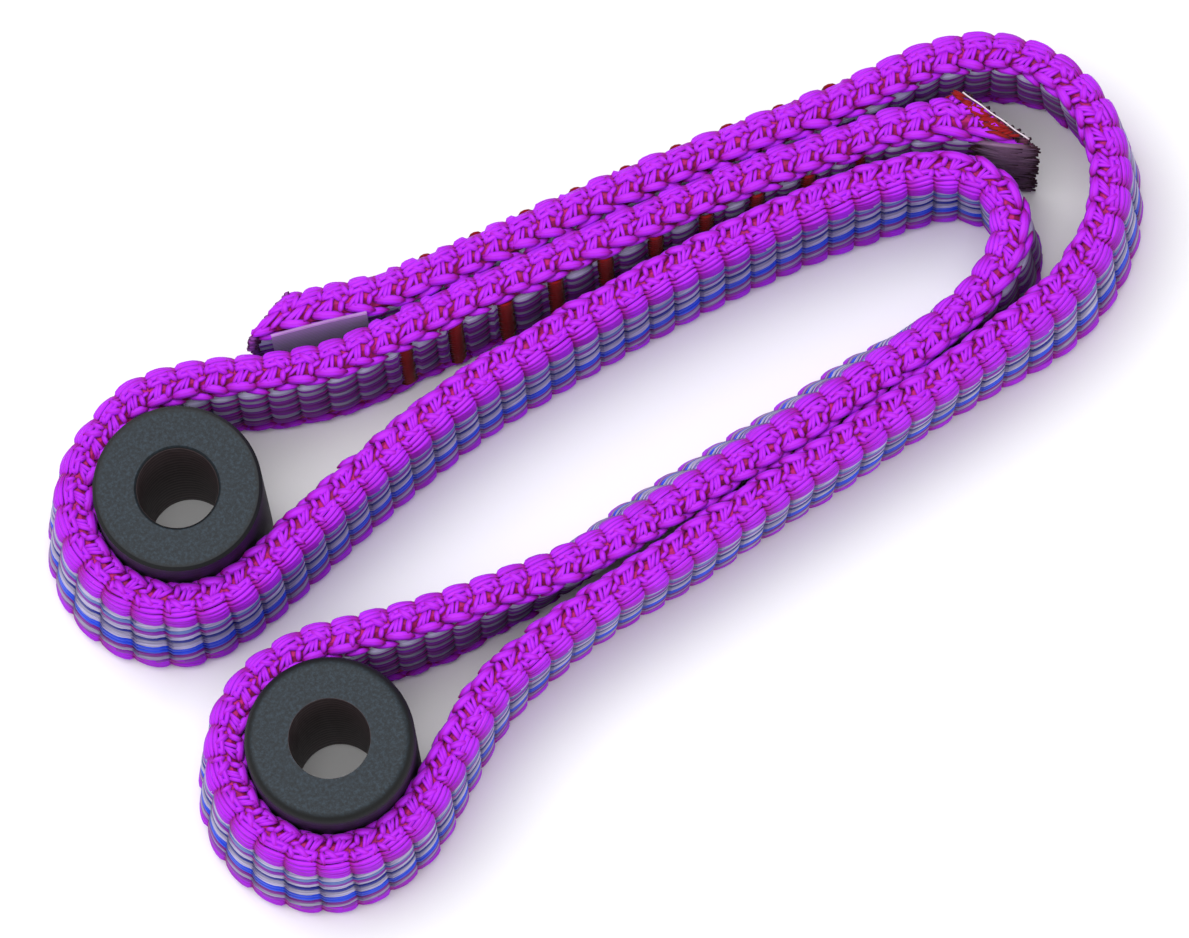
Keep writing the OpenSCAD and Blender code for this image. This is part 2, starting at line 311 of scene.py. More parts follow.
def polyester_yarn(name, light, streak_and_shade_colour, ribs, filament=26.0, sheen=0.15, tint=None):
    """Twisted polyester filament yarn, dyed and woven. Filaments run along it, so it has a
    soft sheen, and painted shade darkens it where it dips between two ribs and at a float's ends."""
    material, tree, shader = new_material(name)
    uv = add_node(tree, "ShaderNodeUVMap", {"uv_map": "UVMap"}).outputs["UV"]
    split = add_node(tree, "ShaderNodeSeparateXYZ", inputs={0: uv})
    along = add_node(tree, "ShaderNodeMath", {"operation": "MULTIPLY"},
                     {0: split.outputs["X"], 1: float(ribs)})
    phase = add_node(tree, "ShaderNodeMath", {"operation": "FRACT"}, {0: along.outputs[0]})
    # Filament bundles 0.2 to 0.4 mm wide, as single filaments are too fine to show
    fibre_at = add_node(tree, "ShaderNodeCombineXYZ", inputs={
        "X": along.outputs[0],
        "Y": add_node(tree, "ShaderNodeMath", {"operation": "MULTIPLY"},
                      {0: split.outputs["Y"], 1: filament}).outputs[0],
    })
    fibre = add_node(tree, "ShaderNodeTexNoise", {"noise_dimensions": "3D"},
                     {"Vector": fibre_at.outputs[0], "Scale": 1.0, "Detail": 3.0})
    # Dye and pile vary over about 4 mm, one rib's length
    place = add_node(tree, "ShaderNodeTexCoord").outputs["Object"]
    cloud = add_node(tree, "ShaderNodeTexNoise", inputs={"Vector": place, "Scale": 260.0,
                                                         "Detail": 2.0})
    # Painted shade: how dark the yarn is over one rib, darkest in the notch, or from end to end
    # on a single float, darkest at both ends
    stops = ((0.0, 0.7), (0.06, 0.05), (0.2, 0.0), (0.55, 0.05), (0.82, 0.35), (1.0, 0.8))
    if ribs == 1:
        stops = ((0.0, 1.0), (0.18, 0.35), (0.4, 0.0), (0.6, 0.0), (0.82, 0.35), (1.0, 1.0))
    dip = add_node(tree, "ShaderNodeValToRGB", inputs={"Fac": phase.outputs[0]},
                   stops=[(at, (v, v, v, 1)) for at, v in stops])
    streak = add_node(tree, "ShaderNodeValToRGB", inputs={"Fac": fibre.outputs["Fac"]},
                      stops=[(0.38, (1, 1, 1, 1)), (0.62, (0, 0, 0, 1))])
    shade = add_node(tree, "ShaderNodeMath", {"operation": "MULTIPLY_ADD", "use_clamp": True},
                     {0: streak.outputs["Color"], 1: 0.42, 2: dip.outputs["Color"]})
    body = add_node(tree, "ShaderNodeMix", {"data_type": "RGBA"}, {
        "Factor": cloud.outputs["Fac"], "A": light, "B": tint or scaled(light, 1.15, 0.02)})
    colour = add_node(tree, "ShaderNodeMix", {"data_type": "RGBA"}, {
        "Factor": shade.outputs[0], "A": body.outputs["Result"], "B": streak_and_shade_colour})
    bump = add_node(tree, "ShaderNodeBump", inputs={
        "Height": fibre.outputs["Fac"], "Strength": 0.5, "Distance": 0.00012})
    tree.links.new(colour.outputs["Result"], shader.inputs["Base Color"])
    tree.links.new(bump.outputs["Normal"], shader.inputs["Normal"])
    shader.inputs["Roughness"].default_value = 0.6
    shader.inputs["IOR"].default_value = 1.57
    shader.inputs["Specular IOR Level"].default_value = 0.14
    shader.inputs["Sheen Weight"].default_value = sheen
    shader.inputs["Sheen Roughness"].default_value = 0.4
    return material


# ---------------------------------------------------------------- making pieces

def finish_piece(obj, material, body=SLING):
    obj.data.materials.clear()
    obj.data.materials.append(material)
    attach(obj, body)
    return obj


def mesh_object(name, mesh):
    obj = bpy.data.objects.new(name, mesh)
    bpy.context.scene.collection.objects.link(obj)
    return obj


def strands(name, lines):
    """Six-sided strands as one mesh. Each line is its points in metres and its radii."""
    curve = bpy.data.curves.new(name, "CURVE")
    curve.dimensions = "3D"
    curve.twist_mode = "Z_UP"
    curve.bevel_depth = MM
    curve.bevel_resolution = 1
    curve.use_fill_caps = True
    for points, radii in lines:
        spline = curve.splines.new("POLY")
        spline.points.add(len(points) - 1)
        spline.points.foreach_set("co", np.c_[points, np.ones(len(points))].ravel())
        spline.points.foreach_set("radius", np.asarray(radii) / MM)
        spline.use_smooth = True
    carrier = mesh_object(name + "_line", curve)
    graph = bpy.context.evaluated_depsgraph_get()
    mesh = bpy.data.meshes.new_from_object(carrier.evaluated_get(graph))
    bpy.data.objects.remove(carrier)
    bpy.data.curves.remove(curve)
    bm = bmesh.new()
    bm.from_mesh(mesh)
    bmesh.ops.remove_doubles(bm, verts=bm.verts, dist=1e-7)
    bmesh.ops.recalc_face_normals(bm, faces=bm.faces)
    bm.to_mesh(mesh)
    bm.free()
    mesh.name = name
    return mesh_object(name, mesh)


# Points along a yarn in each rib
STEPS = 8
# How fast a rib rises and sinks, and how round its top is
SWELL_SKEW = 0.72
SWELL_ROUND = 0.75
# The stripes of colour wander up and down the faces, over this length and this far
WANDER_L = 0.083
WANDER = 0.0009

# Faces that touch: how far two plies' yarns may sink into each other, and the gap kept to a
# bushing
PLY_SINK = 0.00008
BUSHING_GAP = 0.00005
# Where the yarns are pressed in, under a tack, under the label and at the most
TACK_DENT = -0.00012
LABEL_DENT = -0.0001
DEEPEST_DENT = -0.0002
# A tack presses this far each way along the lap, on webbing within reach of its middle
TACK_PRESS = 0.0019
TACK_REACH = 0.005
LAP_AHEAD = np.array([0.985, -0.17])
# The label presses the webbing from the outer cut to here
LABEL_END = 0.017
# Webbing nearer than this along its length is the same ply
SAME_PLY = 0.02
# A single yarn may stand this much further out than its face's room
YARN_SLACK = 0.00005


def rib_count(settings):
    return round(LENGTH / settings.rib_pitch)


def along_ribs(ribs):
    """Places along the webbing, STEPS to a rib, with the rib and the phase of each."""
    index = np.arange(ribs * STEPS + 1)
    return Place(index / STEPS * LENGTH / ribs), index // STEPS, (index % STEPS) / STEPS


def swell(phase):
    """Height of a rib at its phase: it stands up fast from one notch, and sinks more slowly
    into the next, so the ribs overlap like shingles."""
    return np.sin(np.pi * np.clip(phase, 0, 1) ** SWELL_SKEW) ** SWELL_ROUND


def room_beside(place, sign, proud):
    """How far a face may swell before it meets a bushing, another ply or the label."""
    face = place.middle + place.left * sign * THICKNESS / 2
    every = Place(np.arange(0, LENGTH, 0.001))
    apart = np.linalg.norm(face[:, None, :] - every.middle[None], axis=2)
    apart[np.abs(place.s[:, None] - every.s[None]) < SAME_PLY] = 1
    room = (apart.min(axis=1) - THICKNESS / 2) / 2 + PLY_SINK
    for centre in (CENTRE_A, CENTRE_B):
        gap = np.linalg.norm(face - np.array(centre), axis=1) - BUSHING_R
        room = np.minimum(room, gap - BUSHING_GAP)
    for x, y in tack_points():
        near = np.hypot(place.middle[:, 0] - x, place.middle[:, 1] - y) < TACK_REACH
        held = near & (np.abs((place.middle - [x, y]) @ LAP_AHEAD) < TACK_PRESS)
        room = np.where(held, TACK_DENT, room)
    if sign < 0:
        room = np.where(place.s < LABEL_END, LABEL_DENT, room)
    return np.clip(room, DEEPEST_DENT, proud)


def tack_points():
    """Middles of the bar tacks, evenly along the lap."""
    lap = smooth_line(np.array([(x, y, 0) for x, y, _, _ in LAP]), 8)
    xs = np.linspace(FIRST_TACK_X, LAST_TACK_X, len(TACKS))
    return [(x, float(np.interp(x, lap[:, 0], lap[:, 1]))) for x in xs]


# ---------------------------------------------------------------- operators

# The camera's lens and sensor in mm, its place in metres, and its turns in degrees in order
CAMERA_LENS = 272.5
CAMERA_SENSOR = 36.0
CAMERA_AT = (-0.08928, -0.32494, 1.30737)
CAMERA_TURNS = ((-25.815, "Z"), (14.43, "X"), (-5.24, "Z"))
# Middle of the stage, and its floor just under the sling
STAGE_MIDDLE = (0.06, -0.02)
FLOOR_Z = -0.0002
# Each light's name, place, size, and share of the key light's power
LIGHTS = (
    ("key_light", (-0.1, 0.12, 1.0), 0.9, 1.0),
    ("fill_light", (0.3, -0.7, 0.7), 0.8, 0.1),
)


class SLING_OT_stage(bpy.types.Operator):
    """Camera, floor and soft light"""
    bl_idname = "sling.stage"
    bl_label = "Stage"

    def execute(self, context):
        settings = context.scene.sling_stage
        camera = bpy.data.cameras.new("camera")
        camera.lens = CAMERA_LENS
        camera.sensor_width = CAMERA_SENSOR
        camera.sensor_fit = "HORIZONTAL"
        view = bpy.data.objects.new("camera", camera)
        turn = Matrix.Identity(4)
        for degrees, axis in CAMERA_TURNS:
            turn = turn @ Matrix.Rotation(math.radians(degrees), 4, axis)
        view.matrix_world = Matrix.Translation(CAMERA_AT) @ turn
        context.scene.collection.objects.link(view)
        context.scene.camera = view
        context.scene.view_settings.view_transform = "Standard"

        bm = bmesh.new()
        bmesh.ops.create_grid(bm, x_segments=1, y_segments=1, size=4.0,
                              matrix=Matrix.Translation((*STAGE_MIDDLE, FLOOR_Z)))
        mesh = bpy.data.meshes.new("floor")
        bm.to_mesh(mesh)
        bm.free()
        floor = mesh_object("floor", mesh)
        material, _, shader = new_material("matte_paper")
        shader.inputs["Base Color"].default_value = settings.floor
        shader.inputs["Roughness"].default_value = 0.9
        shader.inputs["Specular IOR Level"].default_value = 0.1
        mesh.materials.append(material)

        for name, spot, size, share in LIGHTS:
            light = bpy.data.lights.new(name, "AREA")
            light.size = size
            light.energy = settings.key_power * share
            lamp = bpy.data.objects.new(name, light)
            aim = Vector((*STAGE_MIDDLE, 0)) - Vector(spot)
            lamp.location = spot
            lamp.rotation_euler = aim.to_track_quat("-Z", "Y").to_euler()
            context.scene.collection.objects.link(lamp)
        world = bpy.data.worlds.new("studio")
        context.scene.world = world
        world.use_nodes = True
        sky = world.node_tree.nodes["Background"]
        sky.inputs["Color"].default_value = (1, 1, 1, 1)
        sky.inputs["Strength"].default_value = settings.sky
        return {"FINISHED"}


# The core lies under the yarns: how far in its faces, top and foot are, and its corner bevel
CORE_INSET = 0.0007
CORE_TOP = WIDTH - 0.0004
CORE_FOOT = 0.0007
CORE_BEVEL = 0.0013
CORE_STATIONS = 400
PATH_POINTS = 320


class SLING_OT_core(bpy.types.Operator):
    """Core of the webbing, which shows between its yarns"""
    bl_idname = "sling.core"
    bl_label = "Webbing core"

    def execute(self, context):
        settings = context.scene.sling_webbing
        half, flat = THICKNESS / 2 - CORE_INSET, THICKNESS / 2 - CORE_INSET - CORE_BEVEL
        high, low = CORE_TOP - CORE_BEVEL, CORE_FOOT + CORE_BEVEL
        outline = [
            (half, low), (half, high), (flat, CORE_TOP), (-flat, CORE_TOP),
            (-half, high), (-half, low), (-flat, CORE_FOOT), (flat, CORE_FOOT),
        ]
        place = Place(np.linspace(0, LENGTH, CORE_STATIONS))
        rows = [place.point(side, height) for side, height in outline]
        bm = bmesh.new()
        bmesh.ops.create_grid(bm, x_segments=CORE_STATIONS - 1, y_segments=len(outline), size=0.5)
        for v in bm.verts:
            station = round((v.co.x + 0.5) * (CORE_STATIONS - 1))
            corner = round((v.co.y + 0.5) * len(outline)) % len(outline)
            v.co = rows[corner][station]
        bmesh.ops.remove_doubles(bm, verts=bm.verts, dist=1e-7)
        bmesh.ops.holes_fill(bm, edges=[e for e in bm.edges if e.is_boundary], sides=0)
        bmesh.ops.recalc_face_normals(bm, faces=bm.faces)
        mesh = bpy.data.meshes.new("webbing_core")
        bm.to_mesh(mesh)
        bm.free()
        core = mesh_object("webbing_core", mesh)
        # Dyed, woven polyester: matt, with a grain of about 0.7 mm
        material, tree, shader = new_material("dyed_polyester_binder")
        grain = add_node(tree, "ShaderNodeTexNoise", inputs={
            "Vector": add_node(tree, "ShaderNodeTexCoord").outputs["Object"],
            "Scale": 1400.0, "Detail": 2.0})
        mottle = add_node(tree, "ShaderNodeValToRGB", inputs={"Fac": grain.outputs["Fac"]},
                          stops=[(0.35, scaled(settings.binder, 0.5)), (0.6, settings.binder)])
        tree.links.new(mottle.outputs["Color"], shader.inputs["Base Color"])
        shader.inputs["Roughness"].default_value = 0.8
        finish_piece(core, material)
        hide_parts("webbing_strap")
        middle = Place(np.linspace(0, LENGTH, PATH_POINTS)).point(0, WIDTH / 2, slant=False)
        return {"FINISHED"}


# Yarns from the top of each face to its foot, and how far one slides down in each rib
LEFT_ROWS = ("pale", "dusk", "purple", "pale", "navy", "grey", "pale", "blue", "blue", "violet",
             "grey", "purple")
RIGHT_ROWS = ("pale", "purple", "grey", "purple", "violet", "grey", "purple", "violet", "purple",
              "grey", "violet", "purple")
LEFT_SLIDE = -0.0021
RIGHT_SLIDE = -0.0006
# Outermost yarns of a face, from each edge
ROW_MARGIN = 0.0048
# How much the ribs of one yarn differ in height, place and girth
RIB_SPREAD = 0.14
RIB_JITTER = 0.00022
GIRTH_SPREAD = 0.18
# A yarn's girth in the notch, and what a full rib adds
NOTCH_GIRTH = 0.34
RIB_GIRTH = 0.66


def yarn_line(place, cell, phase, sign, height, settings, room, rng, slide):
    """One face yarn: it swells on each rib and dips at each notch."""
    ribs = cell[-1] + 2
    lift = swell(phase)
    strength = (1 + rng.uniform(-RIB_SPREAD, RIB_SPREAD, ribs))[cell]
    most = np.minimum(settings.proud * strength, room + YARN_SLACK)
    out = most * lift - settings.dip * (1 - lift)
    drift = (phase - 0.5) * (phase > 0) * slide
    drift = drift + rng.uniform(-RIB_JITTER, RIB_JITTER, ribs)[cell]
    girth = (1 + rng.uniform(-GIRTH_SPREAD, GIRTH_SPREAD, ribs))[cell]
    radii = settings.face_yarn * (NOTCH_GIRTH + RIB_GIRTH * lift) * girth
    side = sign * (THICKNESS / 2 + out - radii)
    wander = WANDER * np.sin(place.s * 2 * math.pi / WANDER_L + sign)
    return place.point(side, height + drift + wander), radii


class SLING_OT_face_yarns(bpy.types.Operator):
    """Warp yarns on both flat faces, grouped by colour"""
    bl_idname = "sling.face_yarns"
    bl_label = "Face yarns"

    def execute(self, context):
        settings = context.scene.sling_webbing
        ribs = rib_count(settings)
        rng = np.random.default_rng(21)
        place, cell, phase = along_ribs(ribs)
        groups = {}
        for sign, names, slide in ((1, LEFT_ROWS, LEFT_SLIDE), (-1, RIGHT_ROWS, RIGHT_SLIDE)):
            room = room_beside(place, sign, settings.proud)
            heights = np.linspace(WIDTH - ROW_MARGIN, ROW_MARGIN, len(names))
            for name, height in zip(names, heights):
                line = yarn_line(place, cell, phase, sign, height, settings, room, rng, slide)
                groups.setdefault(name, []).append(line)
        violet = tuple(0.5 * (a + b) for a, b in zip(settings.purple, settings.magenta_painted_shade))
        # Painted shade colour that the grey yarns darken to in each notch
        grey_painted_shade = linear("#4A3A78")
        # Each yarn's colour, and the painted shade colour it darkens to where it dips between ribs.
        # Navy is a yarn colour of its own and also the blue yarns' painted shade.
        colours = {
            "pale": (scaled(settings.grey, 1.5), grey_painted_shade),
            "grey": (settings.grey, grey_painted_shade),
            "dusk": (settings.dusk, settings.navy),
            "purple": (settings.purple, settings.magenta_painted_shade),
            "navy": (settings.navy, linear("#0A0A50")),
            "blue": (settings.blue, settings.navy),
            "violet": (violet, linear("#38104A")),
        }
        for name, lines in groups.items():
            light, streak_and_shade_colour = colours[name]
            piece = strands(f"face_yarns_{name}", lines)
            finish_piece(piece,
                         polyester_yarn(f"polyester_yarn_{name}", light, streak_and_shade_colour, ribs))
        return {"FINISHED"}


# The foot's edge is this much higher than a mirror image of the top, to clear the floor
FOOT_LIFT = 0.0003


def edge_height(height, foot):
    """A height near the top edge, or its mirror image near the foot."""
    return FOOT_LIFT + WIDTH - height if foot else height


# The left shoulder: its corner radius, its yarns, the way round it that they cover, and how
# they climb and differ
SHOULDER_R = 0.0021
SHOULDER_YARNS = 7
SHOULDER_SPAN = 0.0050
SHOULDER_CLIMB = 0.0006
SHOULDER_SPREAD = 0.2
SHOULDER_JITTER = 0.00009
SHOULDER_DIP = 1.6


class SLING_OT_shoulder_yarns(bpy.types.Operator):
    """Bundles of fine magenta yarn over the left shoulder of both edges"""
    bl_idname = "sling.shoulder_yarns"
    bl_label = "Shoulder yarns"

    def execute(self, context):
        settings = context.scene.sling_webbing
        ribs = rib_count(settings)
        rng = np.random.default_rng(5)
        place, cell, phase = along_ribs(ribs)
        room = room_beside(place, 1, settings.proud)
        corner = SHOULDER_R
        material = polyester_yarn("polyester_yarn_magenta", settings.magenta,
                                  settings.magenta_painted_shade, ribs, filament=9.0, sheen=0.04)
        lift = swell(phase)
        for foot, name in ((False, "top"), (True, "foot")):
            lines = []
            for k in range(SHOULDER_YARNS):
                strength = (1 + rng.uniform(-SHOULDER_SPREAD, SHOULDER_SPREAD, ribs + 2))[cell]
                out = settings.proud * strength * lift
                out = out - settings.dip * SHOULDER_DIP * (1 - lift)
                # Distance round the shoulder from the top. Each rib's yarns climb as they rise.
                round_at = SHOULDER_SPAN * k / (SHOULDER_YARNS - 1)
                round_at = round_at + (phase - 0.45) * SHOULDER_CLIMB * (phase > 0)
                round_at += rng.uniform(-SHOULDER_JITTER, SHOULDER_JITTER, ribs + 2)[cell]
                turn = np.clip(math.pi / 2 - round_at / corner, 0, math.pi / 2)
                beyond = np.maximum(round_at - corner * math.pi / 2, 0)
                radii = settings.edge_yarn * (0.6 + 0.4 * lift)
                reach = corner + np.where(np.cos(turn) > 0.5, np.minimum(out, room), out) - radii
                side = THICKNESS / 2 - corner + reach * np.cos(turn) + np.minimum(round_at, 0)
                height = WIDTH - corner + reach * np.sin(turn) - beyond
                lines.append((place.point(side, edge_height(height, foot)), radii))
            finish_piece(strands(f"shoulder_yarns_{name}", lines), material)
        return {"FINISHED"}


# A float's ends stay this far inside the webbing's ends
END_GAP = 0.0002


def float_line(place_s, side, height, reach, tilt, radius, arch, rings, foot):
    """A short yarn float: a spindle centred at a distance along the webbing. tilt turns it from
    the way ahead towards the left."""
    t = np.linspace(-1, 1, rings)
    along = place_s + reach * t * math.cos(tilt)
    place = Place(np.clip(along, END_GAP, LENGTH - END_GAP))
    points = place.point(side + reach * t * math.sin(tilt),
                         edge_height(height + arch * (1 - t * t) - arch, foot))
    return points, radius * (0.2 + 0.8 * np.clip(1 - t * t, 0, 1) ** 0.4)


# Each rib's strokes as (ahead, side, drop from the top, half length, tilt in degrees, radius,
# arch, rings). Lenses: a full float on the right shoulder, and a lower one half behind it.
LENSES = (
    (0.0008, -0.0020, 0.0006, 0.0023, 170, 0.00074, 0.0004, 7),
    (0.0028, -0.0026, 0.0018, 0.0021, 176, 0.0006, 0.0003, 5),
)
FLOATS = (
    # Strokes that come out under the shoulder and cross to the middle
    (0.0002, -0.0007, 0.0, 0.0017, 46, 0.00031, 0.0005, 5),
    (0.0008, -0.0007, 0.0, 0.0017, 58, 0.00031, 0.0005, 5),
    (0.0014, -0.0007, 0.0, 0.0017, 70, 0.00031, 0.0005, 5),
    (0.0026, -0.0011, 0.0, 0.0011, 72, 0.00044, 0.0003, 5),
    (0.0034, -0.0004, 0.0001, 0.0009, 24, 0.00036, 0.0003, 5),
    # Round the hole in the middle, and the broad float back to the left shoulder
    (0.0004, 0.0008, 0.0001, 0.0009, 62, 0.00042, 0.0003, 5),
    (0.0014, 0.0013, 0.0002, 0.0009, 156, 0.00034, 0.0003, 5),
    (0.0023, 0.0006, 0.0, 0.0015, 140, 0.00056, 0.0003, 5),
    (0.0036, 0.0010, 0.0002, 0.0011, 112, 0.0004, 0.0003, 5),
)
# How much the strokes differ in place, size and tilt
FLOAT_JITTER = 0.00013
FLOAT_SIZES = (0.88, 1.12)
FLOAT_TURN = 12
# The plait stops this far short of the inner cut
PLAIT_STOP = 0.004


def rib_floats(rows, s, foot, rng):
    """One rib's strokes at a distance along the webbing."""
    lines = []
    for ahead, side, drop, reach, tilt, radius, arch, rings in rows:
        jog = rng.uniform(-FLOAT_JITTER, FLOAT_JITTER, 2)
        size = rng.uniform(*FLOAT_SIZES)
        turn = math.radians(tilt + rng.uniform(-FLOAT_TURN, FLOAT_TURN))
        lines.append(float_line(s + ahead + jog[0], side + jog[1], WIDTH - drop, reach * size,
                                turn, radius * size, arch, rings, foot))
    return lines


class SLING_OT_edge_plait(bpy.types.Operator):
    """Plaited floats along the middle and right shoulder of both edges"""
    bl_idname = "sling.edge_plait"
    bl_label = "Edge plait"

    def execute(self, context):
        settings = context.scene.sling_webbing
        ribs = rib_count(settings)
        rng = np.random.default_rng(8)
        pitch = LENGTH / ribs
        material = polyester_yarn("polyester_float_magenta", settings.magenta,
                                  settings.magenta_painted_shade, 1, filament=7.0, sheen=0.04)
        for foot, name in ((False, "top"), (True, "foot")):
            floats, lenses = [], []
            for k in range(ribs):
                if k * pitch > LENGTH - PLAIT_STOP:
                    continue
                lenses += rib_floats(LENSES, k * pitch, foot, rng)
                floats += rib_floats(FLOATS, k * pitch, foot, rng)
            finish_piece(strands(f"edge_floats_{name}", floats), material)
            finish_piece(strands(f"edge_lenses_{name}", lenses), material)
        return {"FINISHED"}


# Stitches on each face of a tack, the first one's height and the last one's above it, how far
# one slants, half its length and its spread, and how far it stands off, bows and dips at its ends
TACK_STITCHES = 36
TACK_FOOT = 0.0018
TACK_RISE = 0.0206
TACK_SLANT = 0.0003
TACK_HALF = 0.00115
TACK_SPREAD = 0.00014
TACK_OFF_LEFT = 0.00005
TACK_OFF_RIGHT = 0.0002
TACK_BOW = 0.00016
TACK_ENDS_IN = 0.0003


def sewing_thread(name, thread):
    """Twisted polyester sewing thread, dyed dark red and brighter in patches, with painted shade
    darkening each stitch towards its ends. It has fewer streaks than the yarns, as it is thinner
    and more tightly laid."""
    return polyester_yarn(name, thread, linear("#480406"), 1, filament=4.0,
                          tint=linear("#A0060C"))


class SLING_OT_bar_tacks(bpy.types.Operator):
    """Red bar tacks down both faces of the lap"""
    bl_idname = "sling.bar_tacks"
    bl_label = "Bar tacks"

    def execute(self, context):
        trim = context.scene.sling_trim
        material = sewing_thread("polyester_sewing_thread", trim.thread)
        rng = np.random.default_rng(3)
        slope = math.atan2(LAP[-1][1] - LAP[0][1], LAP[-1][0] - LAP[0][0])
        ahead = np.array([math.cos(slope), math.sin(slope)])
        left = np.array([-ahead[1], ahead[0]])
        t = np.linspace(-1, 1, 5)
        for name, (x, y) in zip(TACKS, tack_points()):
            lines = []
            for sign, off in ((-1, TACK_OFF_RIGHT), (1, TACK_OFF_LEFT)):
                face = (PLY_PITCH + THICKNESS) / 2 + off
                for k in range(TACK_STITCHES):
                    height = TACK_FOOT + TACK_RISE * k / (TACK_STITCHES - 1)
                    height = height + TACK_SLANT * t * (-1) ** k
                    reach = TACK_HALF + rng.uniform(-TACK_SPREAD, TACK_SPREAD)
                    bow = face + TACK_BOW * (1 - t * t) - TACK_ENDS_IN * np.abs(t) ** 3
                    xy = (np.array([x, y]) + ahead * (reach * t)[:, None]
                          + left * (sign * bow)[:, None])
                    lines.append((np.c_[xy, height], trim.thread_radius * (1.25 - 0.4 * t * t)))
            piece = strands(f"{name}_thread", lines)
            finish_piece(piece, material)
            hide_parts(name)
        return {"FINISHED"}


# Stitches over each edge, and down each face
EDGE_STITCHES = 44
LEFT_STITCHES = 5
RIGHT_STITCHES = 3


class SLING_OT_overcast(bpy.types.Operator):
    """Red overcast stitches along the slanted inner cut"""
    bl_idname = "sling.overcast"
    bl_label = "Overcast end"

    def execute(self, context):
        trim = context.scene.sling_trim
        material = sewing_thread("polyester_overcast_thread", trim.thread)
        rng = np.random.default_rng(9)
        lines = []
        half = THICKNESS / 2
        # Over the top and foot edges, stitches side by side along the cut
        for foot in (False, True):
            for _ in range(EDGE_STITCHES):
                side = half * (1 - 2 * rng.random())
                at = LENGTH - 0.0007 - 0.0021 * rng.random() ** 1.3
                reach = 0.0006 + 0.0007 * rng.random()
                tilt = math.radians(rng.uniform(-40, 30))
                lines.append(float_line(at, side, WIDTH + 0.0002, reach, tilt,
                                        trim.thread_radius * 1.1, 0.0002, 5, foot))
        # Thinly down both faces
        t = np.linspace(-1, 1, 6)
        place = Place(LENGTH - 0.0032 + 0.0024 * t)
        for sign, count in ((1, LEFT_STITCHES), (-1, RIGHT_STITCHES)):
            for k in range(count):
                height = 0.0012 + 0.0226 * (k + 0.5) / count + 0.0007 * t
                side = sign * (half + 0.0002 + 0.0002 * (1 - t * t))
                lines.append((place.point(side, height), np.full(len(t), trim.thread_radius)))
        piece = strands("end_overcast_thread", lines)
        finish_piece(piece, material)
        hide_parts("end_overcast")
        return {"FINISHED"}


# How many fibres the cut ends have, and their radii at the thickest
FRAY_FIBRES = 760
FRAY_R = 0.0004
CRUST_FIBRES = 260
CRUST_R = 0.00034
TUFTS = 520
TUFT_R = 0.00042
BEAD_POINTS = 15
BEAD_R = 0.00013


def fray_lines(rng):
    """Short fibres that stand out of the inner cut and droop."""
    lines = []
    t = np.linspace(0, 1, 4)
    for _ in range(FRAY_FIBRES):
        side = THICKNESS / 2 * rng.uniform(-1, 1)
        height = rng.uniform(0.001, WIDTH - 0.0008)
        out = rng.uniform(0.0008, 0.0021)
        place = Place(LENGTH - 0.0008 + out * t)
        sway = rng.uniform(-0.0007, 0.0007, 2)
        points = place.point(side, height)
        points[:, :2] += place.left * (sway[0] * t * t)[:, None]
        points[:, 2] += (sway[1] - 0.0004) * t * t
        lines.append((points, FRAY_R * (1 - 0.35 * t)))
    return lines


def crust_lines(rng):
    """Fibres melted flat on the right face just before the inner cut."""
    lines = []
    t = np.linspace(0, 1, 5)
    for _ in range(CRUST_FIBRES):
        start, end = rng.uniform(0.0022, 0.0062), rng.uniform(-0.0016, 0.0009)
        place = Place(LENGTH - start * (1 - t) + end * t)
        side = -THICKNESS / 2 - 0.0002 - 0.0003 * t - rng.uniform(0, 0.0002)
        height = rng.uniform(0.0012, WIDTH - 0.0018) + rng.uniform(-0.0016, 0.0012) * t
        lines.append((place.point(side, height), CRUST_R * (1 - 0.6 * (2 * t - 1) ** 2)))
    return lines


def tuft_lines(rng):
    """Yarn ends fused flat over the outer cut."""
    lines = []
    for _ in range(TUFTS):
        side = THICKNESS / 2 * rng.uniform(-1, 0.98)
        height = rng.uniform(0.0008, WIDTH - 0.0006)
        place = Place(0.0009 - np.array([0, 0.7, 1]) * rng.uniform(0.0009, 0.0013))
        lines.append((place.point(side, height), TUFT_R * np.array([1, 1, 0.6])))
    return lines


class SLING_OT_cut_ends(bpy.types.Operator):
    """Frayed, melted and fused fibres on the two cut ends"""
    bl_idname = "sling.cut_ends"
    bl_label = "Cut ends"

    def execute(self, context):
        rng = np.random.default_rng(14)
        fray, crust, tufts = fray_lines(rng), crust_lines(rng), tuft_lines(rng)
        # Polyester melted by a hot knife: dull, and darker than its yarn. The second colour of each
        # is painted shade, which darkens every fibre towards its ends
        for piece, lines, material_name, colours in (
            ("inner_cut_crust", crust, "melted_polyester_crust", ("#7E4A74", "#30101E", "#A48CAC")),
            ("inner_cut_fray", fray, "melted_polyester_fray", ("#5C2A48", "#1E0A14", "#7A4058")),
            ("outer_cut_tufts", tufts, "fused_polyester_cut", ("#8A1C9C", "#40083C", "#A05CB4")),
        ):
            light, streak_and_shade_colour, tint = (linear(code) for code in colours)
            material = polyester_yarn(material_name, light, streak_and_shade_colour, 1, filament=3.0, sheen=0.1,
                                      tint=tint)
            finish_piece(strands(piece, lines), material)

        # A pale, glassy bead along the top of the inner cut
        index = np.arange(BEAD_POINTS)
        side = np.linspace(1, -1, BEAD_POINTS) * THICKNESS / 2
        place = Place(np.full(BEAD_POINTS, LENGTH + 0.0002))
        bead = place.point(side, WIDTH + 0.0001 + 0.0002 * np.sin(5 * index))
        material, _, shader = new_material("fused_polyester_bead")
        shader.inputs["Base Color"].default_value = linear("#D8C8D4")
        shader.inputs["Roughness"].default_value = 0.35
        piece = strands("inner_cut_bead", [(bead, np.full(BEAD_POINTS, BEAD_R))])
        finish_piece(piece, material)
        return {"FINISHED"}


